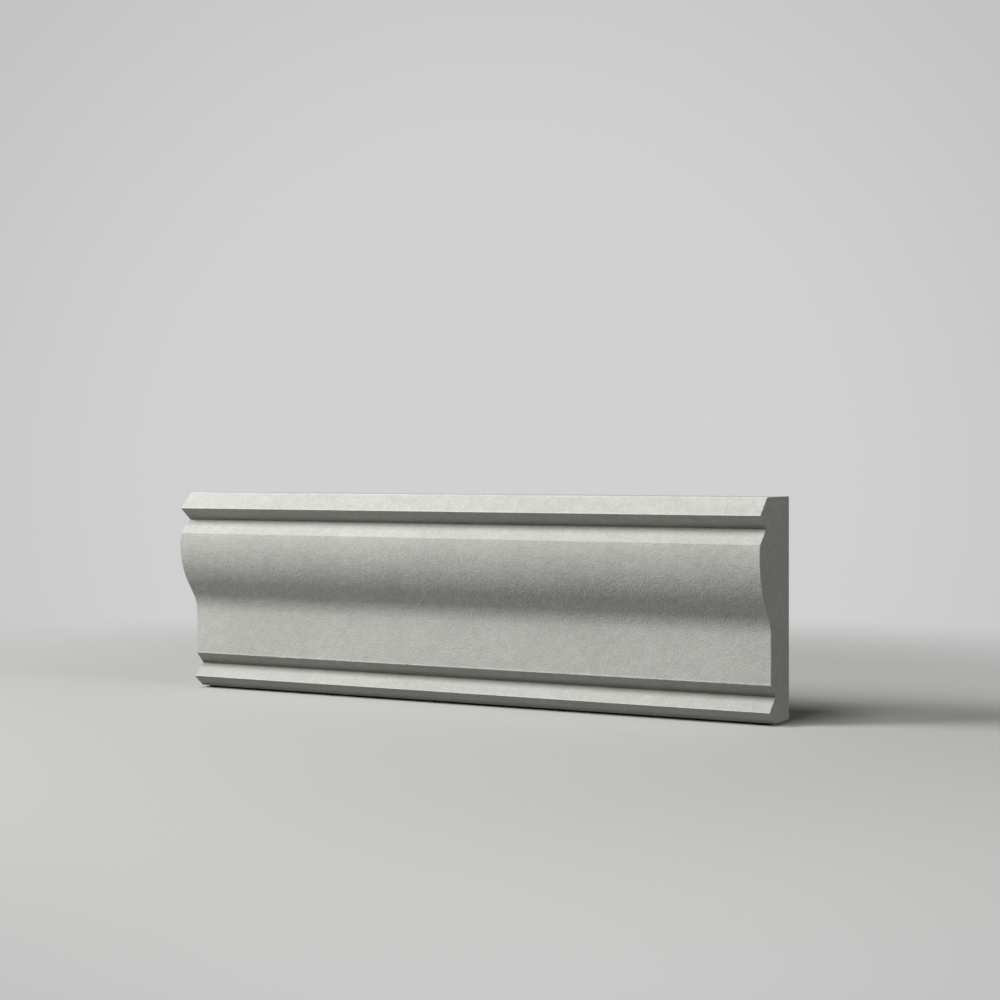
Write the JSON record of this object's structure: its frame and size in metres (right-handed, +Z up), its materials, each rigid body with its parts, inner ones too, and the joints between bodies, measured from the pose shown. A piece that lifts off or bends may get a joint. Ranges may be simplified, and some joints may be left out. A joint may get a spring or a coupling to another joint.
{
  "type": "crown moulding",
  "caption": "Loose length of cast concrete crown moulding with splayed nosings, V grooves, a chamfered ogee and a plain flat, cut square at both ends, flat at the back.",
  "frame": {"origin": "middle of the bottom of the box around the part, at the level of its underside", "axes": "+X along the length, +Y towards the flat back (the moulded face looks to -Y), +Z up"},
  "size_m": [0.341, 0.0401, 0.11],
  "materials": {
    "cast_concrete": "matt fine cast concrete, pale warm grey, sandy grain"
  },
  "bodies": {
    "root": {"crown_moulding": "cast_concrete"}
  },
  "joints": []
}
